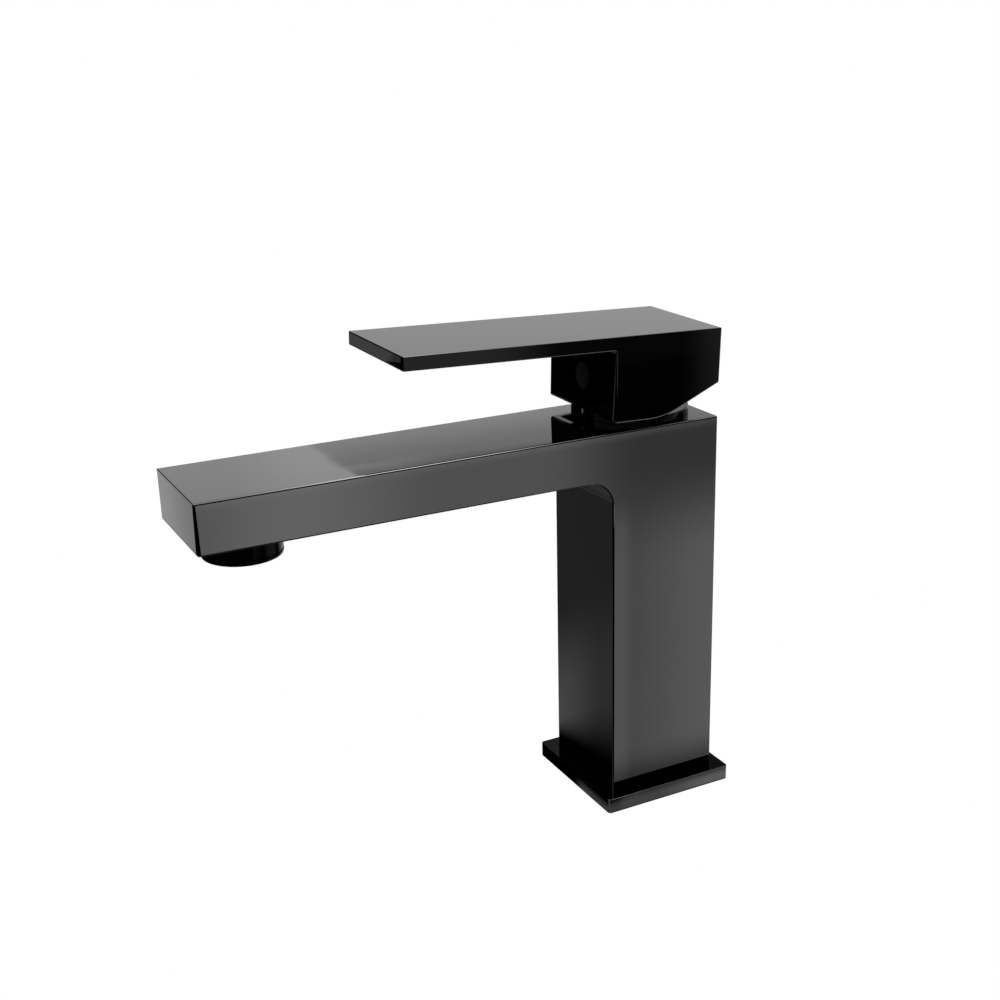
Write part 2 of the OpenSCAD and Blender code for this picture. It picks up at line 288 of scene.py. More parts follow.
beside_lever = side_z.smooth(158, 164) * side_y.smooth(-70, -38, 0.14, 0.01)
beside_lever = beside_lever + side_z.smooth(141, 146) * side_y.smooth(4, 22, 0.005, 0.08)
right_side = (beside_body + beside_base + beside_lever) * x.smooth(20, 24)

# Cards in front and to the left, mirrored in the faces that look along the spout.
front_z, front_x = mirrored_in_front(x, y, -column_half)
rise = ((front_z - front_x * 0.1 - 11) / (front_x * 0.6 + 19)).smooth(0, 1)
low_glow = (front_z - front_x * 0.7).smooth(36, 76, 1.0, 0.0) * front_x.smooth(-18, 14, 0.24, 0.07)
column_front = (low_glow + 0.09) * rise * front_z.smooth(119, 124, 1.0, 0.0)
base_front = band(front_z, -2, -1, 5, 9) * front_x.smooth(8, 15, 0.0, 0.26)
tip_z, tip_x = mirrored_in_front(x, y, spout_tip)
tip_card = band(tip_z, 109, 113, 144, 148) * band(tip_x, -44, -34, 34, 44)
tip_card = tip_card * tip_x.smooth(-24, 24, 0.72, 0.50)
lever_card = band(y, -450, -440, -398, -388) * x.smooth(-745, -730, 1.0, 0.0) * 0.12
left_front = (column_front + base_front) * y.smooth(-24, -21, 1.0, 0.0) * x.smooth(20, 24, 1.0, 0.0)
left_front = left_front + tip_card + lever_card

# The paper's far part, which the undersides mirror, and two weak fills behind and to the left.
backdrop = (x * -0.876 + y * 0.482).smooth(60, 200) * y.smooth(-10, 60) * 1.2
back_fill = y.smooth(500, 900) * x.smooth(-60, 60) * 0.35
left_fill = (y - x * 0.55 + 10).smooth(0, 4) * x.smooth(-40, -24, 1.0, 0.0) * 0.10
emit(board_material, tree, right_side + left_front + backdrop + back_fill + left_fill)
board.data.materials.append(board_material)
print("cards laid out round a column", round(2 * column_half, 1), "mm deep")

# %% [markdown]
# The lever's block stands a little above the column, and the backdrop would shine through the gap
# as a white streak. A photographer stops such a streak with a flag, a strip of black cloth on a
# stand. Ours is upright, longer than it is high, and just outside the gap on the side away from
# the camera. Only mirror rays see it.

# %% A black flag beside the gap
flag_length = 0.034
flag_height_share = 0.115
flag_place = Matrix.Translation((-0.0226, 0.0045, 0.1396)) @ Matrix.Rotation(math.pi / 2, 4, "Y")
flag = sheet_object("black_flag", flag_length, 0)
flag.data.transform(flag_place @ Matrix.Diagonal((flag_height_share, 1, 1, 1)))
seen_by(flag, False, True)
flag_material, tree = new_material("black_cloth")
flag.data.materials.append(emit(flag_material, tree, 0.0))
print("flag", round(flag_length * flag_height_share / mm, 1), "mm high")

# %% [markdown]
# The world is the room above the floor. The camera sees it plain white. Everything else sees a
# white backdrop behind the object with a grey panel in it, a dark gap above, a soft box overhead,
# a dim room on the camera's side and a weak soft light on the far side, for the faces that look
# away. `slope` is a ray's climb for each step outwards, and `swing` is how far it turns from the
# left towards the back. The panel's edge is a straight line in those two.

# %% The room: backdrop, overhead soft box and dim side
world = bpy.data.worlds.new("studio")
bpy.context.scene.world = world
world.use_nodes = True
tree = world.node_tree
tree.nodes.clear()
direction = node(tree, "ShaderNodeTexCoord", output="Generated")
dx, dy, dz = along_axes(direction)
level = (dx * dx + dy * dy + 0.0001).math("SQRT")
slope = dz / level
toward_left = (dx * -1.0) / level
swing = dy / (toward_left * level).math("MAXIMUM", 0.02)
paper_light = swing.smooth(0.27, 0.345, 0.82, 0.98) * slope.smooth(0.14, 0.27, 0.66, 1.0)
across = slope + swing * 0.1
panel_light = across.smooth(0.315, 0.355, 0.80, 0.45) * across.smooth(0.30, 0.323, 0.79, 1.0)
strip_light = swing.smooth(0.37, 0.47, 0.68, 0.53) - across.smooth(0.347, 0.356) * 0.2
panel_light = panel_light + (strip_light - panel_light) * across.smooth(0.3445, 0.3462)
panel = (swing - across * 1.14).smooth(-0.029, -0.0235)
backdrop_light = paper_light + (panel_light - paper_light) * panel
backdrop_light = backdrop_light * slope.smooth(0.36, 0.50, 1.0, 0.09)
backdrop_light = backdrop_light * toward_left.smooth(-0.1, 0.3) * swing.smooth(-0.05, 0.15)
overhead = dz.smooth(0.64, 0.78) * (band(dy, 0.24, 0.38, 0.41, 0.48) * 4.0 + 1.6)
toward_camera = (dx * 0.71 + dy * -0.71) / level
dim_room = toward_camera.smooth(0.55, 0.95) * 0.4
far_side = [turn.smooth(-0.5, -0.1, 0.45, 0.0) for turn in (swing, toward_left)]
in_view_line = ((dx * 0.878 + dy * 0.479) / level).math("ABSOLUTE")
far_side = far_side[0].math("MAXIMUM", far_side[1]) * slope.smooth(0.08, 0.2)
far_side = far_side * in_view_line.smooth(0.90, 0.95, 1.0, 0.0)
room = backdrop_light.math("MAXIMUM", overhead).math("MAXIMUM", dim_room)
room = room.math("MAXIMUM", far_side) + 0.01
seen = node(tree, "ShaderNodeLightPath", output="Is Camera Ray")
emit(world, tree, seen + room * (1 - seen), "ShaderNodeBackground", "ShaderNodeOutputWorld")
print("world:", len(tree.nodes), "nodes")

# %% [markdown]
# ## The plated finish
# The mixer's visible shell is brass, polished and plated in a dark, neutral metal. Such a coat is
# almost a mirror, but not quite: polishing leaves it very slightly wavy, and hands and drying
# water leave areas that are a little duller. So the colour is nearly constant, the roughness
# drifts in soft patches, and two very shallow bumps stand for the polisher's waves and for the
# fine grain of the coat. The ring under the lever has a duller coat of the same kind, and its
# near-black colour is painted shade, the shadow under the lever's block.

# %% Shell finish
def shader(tree, settings, varying):
    """A Principled shader with constants on its own sockets and links for what varies."""
    made = tree.nodes.new("ShaderNodeBsdfPrincipled")
    for name, value in settings.items():
        made.inputs[name].default_value = value
    for name, value in varying.items():
        tree.links.new(value.socket, made.inputs[name])
    out = tree.nodes.new("ShaderNodeOutputMaterial")
    tree.links.new(made.outputs[0], out.inputs["Surface"])


def tint(tree, amount, dark, light):
    """A colour that runs from dark to light as amount goes from 0 to 1."""
    inputs = {0: amount, 6: (*dark, 1), 7: (*light, 1)}
    return node(tree, "ShaderNodeMix", {"data_type": "RGBA"}, inputs, 2)


def bump(tree, height, depth, normal=None):
    """A bump whose height is in metres: height times depth."""
    inputs = {"Height": height, "Distance": depth, "Strength": 1.0}
    if normal is not None:
        inputs["Normal"] = normal
    return node(tree, "ShaderNodeBump", {}, inputs)


def plated(name, colour, smoothness, dullness):
    """Polished dark plating: roughness drifts from smoothness to dullness in soft patches."""
    material, tree = new_material(name)
    place = object_place(tree)
    patches = noise(tree, place, 0.035, 4.0, 0.6)
    wipes = noise(tree, place, 0.009, 3.0, 1.5)
    grain = noise(tree, place, 0.0004, 2.0)
    wave = noise(tree, place, 0.022, 1.0)
    dull = patches.smooth(0.42, 0.68) * 0.65 + wipes.smooth(0.5, 0.72) * 0.35
    base = tint(tree, patches * 0.6 + grain * 0.4, colour, [c * 1.08 for c in colour])
    rough = smoothness + dull * (dullness - smoothness)
    relief = bump(tree, wave, 0.000015, bump(tree, grain, 0.00000015))
    shader(tree, {"Metallic": 1.0}, {"Base Color": base, "Roughness": rough, "Normal": relief})
    return material


shell_metal = plated("plated_gunmetal", (0.112, 0.112, 0.114), 0.02, 0.055)
# The ring's near-black colour is painted shade, the shadow under the lever's block; its duller
# roughness is its own.
ring_metal_painted_shade = plated("plated_painted_shade", (0.016, 0.016, 0.017), 0.08, 0.16)
print("finishes:", shell_metal.name, "and", ring_metal_painted_shade.name)

# %% [markdown]
# ## Surfaces from grids
# Every new piece is a grid of points bent into shape: rows run one way over the surface and
# columns the other. One function turns such a grid into a mesh. It joins neighbouring points into
# four-sided faces, closes the ends, merges points that fall together at a pole, and turns all
# faces outwards. Flat faces stay flat and round edges stay smooth, because normals are weighted by
# face area and only real corners are kept sharp.

# %% From a grid to a piece
def surface(name, grid, wrap_rows=False, caps=True):
    """A mesh object from grid[row, column] of points in millimetres.
    Point (i, j) is joined with (i, j + 1), (i + 1, j + 1) and (i + 1, j). The last column meets the
    first one, and so does the last row if wrap_rows, or else one face closes each end row."""
    rows, columns = grid.shape[:2]
    index = np.arange(rows * columns).reshape(rows, columns)
    around = np.hstack([index, index[:, :1]])
    if wrap_rows:
        around = np.vstack([around, around[:1]])
    quads = np.stack([around[:-1, :-1], around[:-1, 1:], around[1:, 1:], around[1:, :-1]], -1)
    faces = quads.reshape(-1, 4).tolist()
    if caps and not wrap_rows:
        faces += [index[0, ::-1].tolist(), index[-1].tolist()]
    mesh = bpy.data.meshes.new(name)
    mesh.from_pydata((grid.reshape(-1, 3) * mm).tolist(), [], faces)
    work = bmesh.new()
    work.from_mesh(mesh)
    bmesh.ops.remove_doubles(work, verts=work.verts, dist=0.0005 * mm)
    bmesh.ops.recalc_face_normals(work, faces=work.faces)
    work.to_mesh(mesh)
    work.free()
    made = bpy.data.objects.new(name, mesh)
    bpy.context.scene.collection.objects.link(made)
    return made


def apply_modifiers(made):
    """Replaces an object's mesh with what its modifiers make of it."""
    bpy.context.view_layer.update()
    seen_mesh = made.evaluated_get(bpy.context.evaluated_depsgraph_get())
    final = bpy.data.meshes.new_from_object(seen_mesh)
    made.modifiers.clear()
    made.data = final


def combine(made, others, operation="DIFFERENCE"):
    """Cuts the others out of made, or joins them to it, and removes them."""
    for other in others:
        step = made.modifiers.new(operation.lower(), "BOOLEAN")
        step.operation = operation
        step.solver = "EXACT"
        step.object = other
    apply_modifiers(made)
    for other in others:
        bpy.data.objects.remove(other)
    return made


def place_piece(made, body, slot, material, *replaced, corner=32):
    """Smooths a piece except at corners sharper than that angle, and puts it on its body."""
    made.data.shade_smooth()
    made.data.set_sharp_from_angle(angle=math.radians(corner))
    weigh = made.modifiers.new("flat_faces", "WEIGHTED_NORMAL")
    weigh.keep_sharp = True
    apply_modifiers(made)
    made.data.materials.clear()
    made.data.materials.append(material)
    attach(made, body)
    if replaced:
        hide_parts(*replaced)
    print(f"{made.name}: {len(made.data.polygons)} faces on {body}")
    return made


print("grid tools ready")

# %% [markdown]
# ## Outlines with round corners
# Most of this mixer is an outline carried straight along one axis: the L of column and spout, the
# lever's side view, the flange's square. `round_loop` draws such an outline with an arc at each
# corner. `slab` then carries it along an axis and rounds the two rims: each row is the outline
# drawn again a little smaller, so a rim can be wide along one side and narrow along the next, as
# it is where a polishing wheel has worked one face more than another.

# %% Round loops and slabs
def round_loop(corners, radii, steps):
    """A closed outline, anticlockwise, as an array of points.
    At each corner the arc starts where the incoming side ends. Its centre lies one radius to the
    side that the outline turns to, and steps equal turns of the side's normal carry the point
    round to the outgoing side."""
    corners = np.asarray(corners, float)
    radii = np.asarray(radii, float)[:, None]
    before = corners - np.roll(corners, 1, axis=0)
    before /= np.linalg.norm(before, axis=1, keepdims=True)
    after = np.roll(before, -1, axis=0)
    turn = np.arctan2(before[:, 0] * after[:, 1] - before[:, 1] * after[:, 0],
                      (before * after).sum(1))
    start = corners - before * radii * np.tan(np.abs(turn) / 2)[:, None]
    normal = np.column_stack([before[:, 1], -before[:, 0]])
    bend = np.sign(turn)[:, None] * radii
    angles = turn[:, None] * np.linspace(0, 1, steps + 1)
    cos, sin = np.cos(angles)[..., None], np.sin(angles)[..., None]
    side = np.stack([normal, np.column_stack([-normal[:, 1], normal[:, 0]])], axis=1)
    turned = side[:, None, 0] * cos + side[:, None, 1] * sin
    return ((start - bend * normal)[:, None] + bend[:, None] * turned).reshape(-1, 2)


def inset_corners(corners, insets):
    """Moves each side inwards by its inset, given at its start and at its end, and returns the
    places where neighbouring sides now meet."""
    corners = np.asarray(corners, float)
    along = np.roll(corners, -1, axis=0) - corners
    unit = along / np.linalg.norm(along, axis=1, keepdims=True)
    inward = np.column_stack([-unit[:, 1], unit[:, 0]])
    start = corners + inward * insets[:, :1]
    end = corners + along + inward * insets[:, 1:]
    ahead = end - start
    behind_start, behind_ahead = np.roll(start, 1, axis=0), np.roll(ahead, 1, axis=0)
    gap = start - behind_start
    cross = behind_ahead[:, 0] * ahead[:, 1] - behind_ahead[:, 1] * ahead[:, 0]
    share = (gap[:, 0] * ahead[:, 1] - gap[:, 1] * ahead[:, 0]) / cross
    return behind_start + behind_ahead * share[:, None]


def rim_pairs(rims, sides):
    """One rim radius, or one for each side, or a start and an end for each side, as pairs."""
    rims = np.asarray(rims, float)
    if rims.ndim < 2:
        rims = np.broadcast_to(rims, (sides,))
        rims = np.column_stack([rims, rims])
    return rims


def slab(name, corners, radii, low, high, rims, axis=0, steps=6, low_rims=None):
    """An outline carried along an axis from low to high, with a quarter round at both ends.
    At angle a from 0 to 90 degrees the outline is inset by rim * (1 - sin a) and stands
    rim * (1 - cos a) in from the end."""
    sides = len(corners)
    high_pairs = rim_pairs(rims, sides)
    low_pairs = high_pairs if low_rims is None else rim_pairs(low_rims, sides)
    grow = np.array(radii, float)
    edges = np.asarray(corners, float)
    before = edges - np.roll(edges, 1, axis=0)
    after = np.roll(before, -1, axis=0)
    hollow = (before[:, 0] * after[:, 1] - before[:, 1] * after[:, 0]) < 0
    rows = []
    for end, pairs, sign in ((low, low_pairs, 1), (high, high_pairs, -1)):
        angles = np.linspace(0, np.pi / 2, steps + 1)
        if sign < 0:
            angles = angles[::-1]
        incoming = np.roll(pairs[:, 1], 1)
        blend = np.linspace(0, 1, steps + 1)
        rim = (incoming[:, None] * (1 - blend) + pairs[:, :1] * blend).reshape(-1)
        for angle in angles:
            inset = pairs * (1 - math.sin(angle))
            most = np.maximum(np.roll(inset[:, 1], 1), inset[:, 0])
            reach = np.where(hollow, grow + most, np.maximum(grow - most, 0.02))
            flat = round_loop(inset_corners(corners, inset), reach, steps)
            level_at = end + sign * rim * (1 - math.cos(angle))
            rows.append(np.column_stack([level_at, flat]))
    grid = np.roll(np.array(rows), axis, axis=-1)
    return surface(name, grid)


def lathe(name, corners, radii, centre=(0, 0), columns=96, steps=5):
    """An outline in radius and height, turned once round an upright axis at centre.
    An outline that starts and ends on the axis gives a solid piece, and any other one a ring."""
    outline = round_loop(corners, radii, steps)
    solid = corners[0][0] == 0
    angle = np.linspace(0, 2 * np.pi, columns, endpoint=False)
    radius, height = outline[:, :1], outline[:, 1:]
    grid = np.stack([centre[0] + radius * np.cos(angle), centre[1] + radius * np.sin(angle),
                     height + 0 * angle], axis=-1)
    return surface(name, grid, wrap_rows=not solid, caps=False)


def rod(name, radius, low, high, centre=(0, 0), columns=96):
    """A plain round cutter: two rings of points and their end faces."""
    angle = np.linspace(0, 2 * np.pi, columns, endpoint=False)
    ring = np.column_stack([centre[0] + radius * np.cos(angle), centre[1] + radius * np.sin(angle)])
    grid = np.stack([np.column_stack([ring, np.full(columns, z)]) for z in (low, high)])
    return surface(name, grid)


def square_corners(half_x, half_y, middle=(0, 0)):
    """The corners of a rectangle, anticlockwise."""
    return [(middle[0] + sx * half_x, middle[1] + sy * half_y)
            for sx, sy in ((-1, -1), (1, -1), (1, 1), (-1, 1))]


print("outline tools ready")

# %% [markdown]
# ## The body casting
# Column and spout are one brass casting with straight sides, so its side view is an L with a round
# inner corner, carried across its width. The rims differ from side to side: fine up the back and
# along the top, wider down the spout's end, and widest on the left along the underside. Below, the
# column is open for the hoses, and its top is bored for the cartridge. Those hollows are cut out,
# because the lever's working parts move inside them.

# %% Column and spout
body_low = casting_low[2]
spout_height = 16.4
spout_underside = body_top - spout_height
inner_corner_radius = 9
side_view = [(column_half, body_low), (column_half, body_top), (spout_tip, body_top),
             (spout_tip, spout_underside), (-column_half, spout_underside),
             (-column_half, body_low)]
corner_radii = [0.6, 0.5, 0.25, 0.8, inner_corner_radius, 0.8]
near_rims = [(0.45, 0.45), (0.6, 0.7), (0.7, 1.2), (0.6, 0.5), (0.6, 0.6), (0.4, 0.4)]
far_rims = [(0.6, 0.6), (0.5, 0.5), (0.7, 1.6), (1.6, 1.0), (1.2, 1.2), (0.4, 0.4)]
mixer_body = slab("mixer_body", side_view, corner_radii, -body_half, body_half, near_rims,
                  low_rims=far_rims)

casting_wall = 3.3
hose_room_top = 70
hose_room = slab("hose_room", square_corners(body_half - casting_wall, column_half - casting_wall),
                 [4] * 4, body_low - 2, hose_room_top, 0.05, axis=2)
outlet_y = -141.4
outlet_seat = spout_underside + 7.1
stud_centre = (0, -12.6)
# Each round cut is given by its radius, its bottom and its top.
inlets = [rod("inlet_cut", 4.46, hose_room_top - 1, 82, (sign * 7.5, 5), 48) for sign in (-1, 1)]
stud_hole = rod("stud_cut", 4.06, hose_room_top - 1, 86, stud_centre, 48)
chamber = [rod("chamber_cut", 12.7, 103, 130), rod("nut_cut", 13.6, 126.5, 136),
           rod("mouth_cut", 16.5, 134, 140)]
outlet_hole = rod("outlet_cut", 11.76, spout_underside - 2, outlet_seat, (0, outlet_y))
combine(mixer_body, [hose_room, *chamber, stud_hole, outlet_hole, *inlets])
place_piece(mixer_body, "body", "gunmetal", shell_metal, "body_casting")

# %% [markdown]
# ## The base flange
# A square plate goes round the column's foot and hides the hole in the worktop. Its upright
# corners and its top rim are only just rounded. The column stands in a recess in it, and a rubber
# ring lies in a groove below.

# %% Base flange
flange_high = np.array(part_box("base_flange")[1]) / mm
over_flange = 9
under_flange = -1
base_flange = slab("flange_plate", square_corners(flange_high[0], flange_high[1]), [1.2] * 4,
                   0, flange_high[2], 0.14, axis=2, low_rims=0.1)
recess = slab("recess_cut", square_corners(body_half + 0.08, column_half + 0.08), [0.9] * 4,
              body_low, over_flange, 0.02, axis=2)
groove_view = [(18.6, under_flange), (22.4, under_flange), (22.4, 2), (18.6, 2)]
groove = lathe("groove_cut", groove_view, [0.1] * 4)
combine(base_flange, [recess, rod("hole_cut", 17.6, under_flange, over_flange), groove])
place_piece(base_flange, "body", "gunmetal", shell_metal, "base_flange")

# %% [markdown]
# ## The cover ring
# Where the lever turns on the column, a low round ring covers the cartridge. It is turned on a
# lathe, so it is an outline in radius and height, spun once round the axis: a small round outside,
# a lip inside, and a skirt that plugs into the counterbore with a rubber ring in its groove.

# %% Cover ring
ring_low, ring_high = (np.array(v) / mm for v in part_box("cover_ring"))
ring_outer, ring_top = ring_high[0], ring_high[2]
lip_under, skirt_low = ring_top - 1.6, ring_low[2]
lip_inner, skirt_inner, groove_floor, skirt_outer = 12.4, 14.6, 15.1, 16.4
groove_low, groove_high = 134.9, 136.8
seat = body_top + 0.02
ring_view = [(lip_inner, lip_under), (skirt_inner, lip_under), (skirt_inner, skirt_low),
             (skirt_outer, skirt_low), (skirt_outer, groove_low), (groove_floor, groove_low),
             (groove_floor, groove_high), (skirt_outer, groove_high), (skirt_outer, seat),
             (ring_outer, seat), (ring_outer, ring_top), (lip_inner, ring_top)]
ring_radii = [0.1, 0.1, 0.15, 0.15, 0.1, 0.1, 0.1, 0.1, 0.05, 0.15, 0.35, 0.3]
cover_ring = lathe("dome_ring", ring_view, ring_radii, columns=128)
# The ring takes the finish with painted shade: a near-black colour for the shadow under the lever's
# block.
place_piece(cover_ring, "body", "gunmetal", ring_metal_painted_shade, "cover_ring")

# %% [markdown]
# ## The lever
# The lever is one casting too: a thin plate that ends in a hollow block over the column. With the
# water off, the plate rises a little towards its tip, so the lever and the pieces inside it are
# drawn in the stem's own upright frame and then tilted about the pivot. The block's underside
# climbs towards the back, which leaves room to tip the lever. The tip's upright edges are rounder
# than the long ones, and the block's front edges are rounded more and more towards the bottom.

# %% The lever's frame
tilt = math.radians(2.06)
pivot = 125
lever_frame = Matrix.Translation((0, 0, pivot * mm)) @ Matrix.Rotation(-tilt, 4, "X")


def into_lever(made):
    """Moves a mesh drawn about the upright stem to its place on the tilted lever."""
    made.data.transform(lever_frame)
    return made


def facing_front(made, height):
    """Lays an upright mesh down along -Y, with its axis at that height."""
    made.data.transform(Matrix.Translation((0, 0, height * mm)) @ Matrix.Rotation(math.pi / 2, 4, "X"))
    return made


print("lever tilted by", round(math.degrees(tilt), 2), "degrees")

# %% Plate and block
lever_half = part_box("lever")[1].x / mm
lever_tip = -96.6
lever_back = 18.8
block_front = -22.1
plate_top = 44.27
plate_thick = 4.6
plate_under = plate_top - plate_thick
block_under = plate_top - 28.7
back_edge = plate_top - 18.6
lever_view = [(lever_back, back_edge), (lever_back, plate_top), (lever_tip, plate_top),
              (lever_tip, plate_under), (block_front, plate_under), (block_front, block_under),
              (-3, block_under)]
lever_radii = [0.8, 0.5, 0.4, 0.6, 0.9, 1.0, 26]
lever_near = [(0.5, 0.4), (0.2, 0.2), (1.3, 1.3), (0.4, 0.4), (0.5, 1.6), (0.5, 0.45), (0.4, 0.4)]
lever_far = [(2.4, 2.4), (0.5, 0.5), (0.8, 0.8), (0.5, 0.5), (0.6, 1.0), (0.9, 0.8), (0.7, 0.7)]
lever = slab("lever_shell", lever_view, lever_radii, -lever_half, lever_half, lever_near,
             low_rims=lever_far, steps=7)

lever_wall = 2.5
hollow_middle = (block_front + lever_back) / 2
hollow_half = (lever_back - block_front) / 2 - lever_wall
hollow = slab("hollow_cut", square_corners(lever_half - lever_wall, hollow_half, (0, hollow_middle)),
              [1.5] * 4, block_under - 2, plate_under, 0.8, axis=2)
combine(lever, [hollow])
boss_low = 22
boss = slab("boss", square_corners(7.5, 9, (0, -2)), [1.2] * 4, boss_low, plate_under + 0.5, 0.4,
            axis=2)
combine(lever, [boss], "UNION")
stem_half, stem_top = 3, 33
stem_hole = slab("stem_cut", square_corners(stem_half + 0.06, stem_half + 0.06), [0.4] * 4,
                 boss_low - 1, stem_top + 0.3, 0.02, axis=2)
screw_height = 27.2
plug_radius = 4.72
screw_hole = facing_front(rod("screw_cut", 2.52, 0, 12, columns=48), screw_height)
plug_hole = facing_front(rod("plug_cut", plug_radius + 0.05, 12, 24, columns=64), screw_height)
combine(lever, [stem_hole, screw_hole, plug_hole])
place_piece(into_lever(lever), "lever", "gunmetal", shell_metal, "lever")

# %% [markdown]
# ## The index plug
# A small round plug in the block's front closes the hole through which the lever's grub screw is
# reached. It is moulded in black plastic, nearly flat, with a small round rim. Plastic mirrors far
# less than metal does, so it reads as a dark disc.

# %% The plug and its plastic
def moulded(name, colour, smoothness, dullness, grain_size, grain_depth, settings=None):
    """Plastic or rubber: a fine even grain in the bump, and slow drifts of shade and gloss."""
    material, tree = new_material(name)
    place = object_place(tree)
    clouds = noise(tree, place, 0.02, 3.0)
    grain = noise(tree, place, grain_size, 2.0)
    base = tint(tree, clouds * 0.7 + grain * 0.3, [c * 0.88 for c in colour], colour)
    rough = smoothness + clouds.smooth(0.35, 0.7) * (dullness - smoothness)
    relief = bump(tree, grain, grain_depth)
    shader(tree, settings or {}, {"Base Color": base, "Roughness": rough, "Normal": relief})
    return material


plug_plastic = moulded("gloss_black_plastic", (0.010, 0.010, 0.011), 0.22, 0.3, 0.0004, 0.0000004,
                        {"Specular IOR Level": 0.12})
plug_depth = 2.2
plug_start = -block_front - plug_depth - 0.2
plug_view = [(0, plug_start), (plug_radius, plug_start), (plug_radius, plug_start + 2.1),
             (0, plug_start + plug_depth)]
index_plug = lathe("index_button", plug_view, [0, 0.2, 0.3, 0], columns=72)
into_lever(facing_front(index_plug, screw_height))
place_piece(index_plug, "lever", "plug_black", plug_plastic, "index_plug")

# %% [markdown]
# ## Machined metal
# The stem, the nuts and the stud are turned or milled from bar. A cutting tool leaves fine rings
# round the axis, so their finish has a narrow wave across the height of the piece, broken up by
# noise, in the bump and in the roughness, with a few duller stains in the colour.

# %% Finish and shape of the stem
def machined(name, colour, stain, smoothness, dullness, ring_size):
    """Turned metal: rings ring_size metres apart up the piece, with stained patches."""
    material, tree = new_material(name)
    place = object_place(tree)
    height, = along_axes(place, "Z")
    patches = noise(tree, place, 0.008, 4.0, 0.8)
    scratch = noise(tree, place, 0.0012, 3.0)
    rings = (height * (2 * math.pi / ring_size) + scratch * 2.0).math("SINE") * 0.5 + 0.5
    base = tint(tree, patches.smooth(0.45, 0.75), colour, stain)
    rough = smoothness + (rings * 0.4 + patches * 0.6) * (dullness - smoothness)
    relief = bump(tree, rings * 0.6 + scratch * 0.4, 0.000012)
    shader(tree, {"Metallic": 1.0}, {"Base Color": base, "Roughness": rough, "Normal": relief})
    return material


brass = machined("turned_brass", (0.62, 0.45, 0.18), (0.42, 0.28, 0.11), 0.22, 0.42, 0.0005)
zinc = machined("zinc_plated_steel", (0.62, 0.63, 0.64), (0.48, 0.49, 0.52), 0.25, 0.45, 0.0008)

stem = slab("stem_bar", square_corners(stem_half, stem_half), [0.5] * 4, -3.6, stem_top, 0.5, axis=2)
arm_view = [(0, -10.5), (1.0, -10.5), (2.3, -9.2), (2.3, -7.2), (1.7, -6.4), (1.7, -3.0), (0, -3.0)]
arm = lathe("arm", arm_view, [0, 0.9, 1.4, 1.2, 0.6, 0.1, 0], columns=40)
combine(stem, [arm], "UNION")
pin_hole = rod("pin_cut", 1.56, -5, 5, columns=40)
pin_hole.data.transform(Matrix.Rotation(math.pi / 2, 4, "Y"))
combine(stem, [pin_hole])
place_piece(into_lever(stem), "lever", "brass_bare", brass, "lever_stem")

# %% [markdown]
# ## The outlet
# A black aerator screws up into the spout's end. Its barrel is a lathe shape with a rounded lip,
# a narrow groove just above it, and a plain neck in the spout where the real one has its thread.
# In its mouth sits a honeycomb that straightens the stream. The honeycomb is a thin disc with rows
# of six-sided cells cut through it, all made as one cutter: six points round each cell's centre,
# at two heights.

# %% Aerator barrel
outlet_plastic = moulded("black_outlet", (0.003, 0.003, 0.003), 0.14, 0.2, 0.0006, 0.0000006,
                         {"Specular IOR Level": 0.06})
barrel_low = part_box("aerator_housing")[0].z / mm
barrel_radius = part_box("aerator_housing")[1].x / mm
groove_radius = barrel_radius - 0.35
mouth_radius, bore_radius, neck_radius = 9.3, 10.2, 11.7
neck_top = outlet_seat - 1.6
ledge = barrel_low + 1.6
barrel_view = [(mouth_radius, barrel_low), (barrel_radius, barrel_low),
               (barrel_radius, barrel_low + 1.2), (groove_radius, barrel_low + 1.35),
               (groove_radius, barrel_low + 1.65), (barrel_radius, barrel_low + 1.8),
               (barrel_radius, spout_underside), (neck_radius, spout_underside),
               (neck_radius, neck_top), (bore_radius, neck_top), (bore_radius, ledge),
               (mouth_radius, ledge)]
barrel_radii = [0.3, 0.6, 0.1, 0.08, 0.08, 0.15, 0.1, 0.05, 0.3, 0.2, 0.1, 0.2]
barrel = lathe("aerator_barrel", barrel_view, barrel_radii, (0, outlet_y), columns=128)
place_piece(barrel, "body", "outlet_black", outlet_plastic, "aerator_housing")

# %% Honeycomb
grey_plastic = moulded("pale_grey_plastic", (0.42, 0.42, 0.40), 0.35, 0.5, 0.0005, 0.000002)


def cells(name, pitch, wall, reach, low, high):
    """Six-sided prisms on a honeycomb, pitch apart with a wall between them, whose centres are
    within reach of the axis."""
    row, column = np.meshgrid(np.arange(-6, 7), np.arange(-6, 7), indexing="ij")
    centre_x = (pitch * (column + 0.5 * (row % 2))).ravel()
    centre_y = (pitch * row * math.sin(math.pi / 3)).ravel()
    inside = np.hypot(centre_x, centre_y) < reach
    centre = np.column_stack([centre_x, centre_y])[inside]
    angle = np.radians(30 + 60 * np.arange(6))
    corner_radius = (pitch / 2 - wall / 2) / math.cos(math.pi / 6)
    hexagon = np.column_stack([np.cos(angle), np.sin(angle)]) * corner_radius
    ring = centre[:, None] + hexagon
    points = np.stack([np.concatenate([ring, np.full((*ring.shape[:2], 1), z)], -1)
                       for z in (low, high)], axis=1)
    first = np.arange(len(centre))[:, None] * 12
    corner = np.arange(6)
    walls = np.stack([corner, (corner + 1) % 6, (corner + 1) % 6 + 6, corner + 6], -1)
    sides = (first[:, :, None] + walls).reshape(-1, 4)
    mesh = bpy.data.meshes.new(name)
    ends = (first + corner[::-1]).tolist() + (first + corner + 6).tolist()
    mesh.from_pydata((points.reshape(-1, 3) * mm).tolist(), [], sides.tolist() + ends)
    made = bpy.data.objects.new(name, mesh)
    bpy.context.scene.collection.objects.link(made)
    return made


